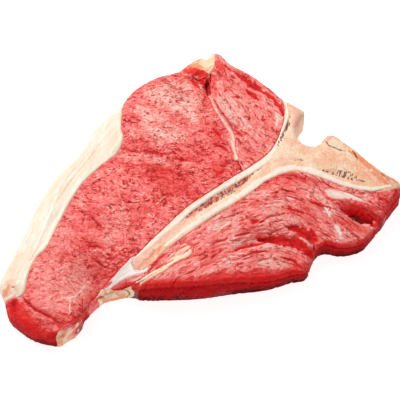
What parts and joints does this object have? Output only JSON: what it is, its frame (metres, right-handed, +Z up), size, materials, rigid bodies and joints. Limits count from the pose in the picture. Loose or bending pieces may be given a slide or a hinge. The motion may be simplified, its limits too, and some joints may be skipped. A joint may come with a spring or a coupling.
{
  "type": "raw t-bone steak",
  "caption": "Thick raw beef steak lying flat, cut across the short loin, with a T-shaped bone between strip loin and tenderloin, a fat cap and a tapering tail.",
  "frame": {"origin": "under the middle of the steak, on the surface it lies on", "axes": "+X along the longest side, from the tail end to the backbone; +Y towards the crown of the strip loin; +Z up, out of the upper cut face"},
  "size_m": [0.237, 0.2084, 0.0218],
  "materials": {
    "meat": "moist coral-red raw beef, fine grain, satin gloss",
    "pale_meat": "moist paler pink raw beef, satin gloss",
    "fat": "cream beef fat, waxy satin",
    "yellow_fat": "yellow to orange-tinged fat, waxy satin",
    "bone": "sawn bone, pale rim round a tan spongy middle",
    "gristle": "smooth pearly white cartilage"
  },
  "bodies": {
    "root": {"t_bone": "bone", "tip_cartilage": "gristle", "chain_muscle": "pale_meat", "chain_fat": "yellow_fat", "side_fat": "fat", "side_muscle": "pale_meat", "seam_fat": "fat", "crown_fat": "yellow_fat", "spine_muscle": "meat", "fat_cap": "fat", "tail_fat": "yellow_fat", "strip_loin": "meat", "tenderloin": "meat"}
  },
  "joints": []
}
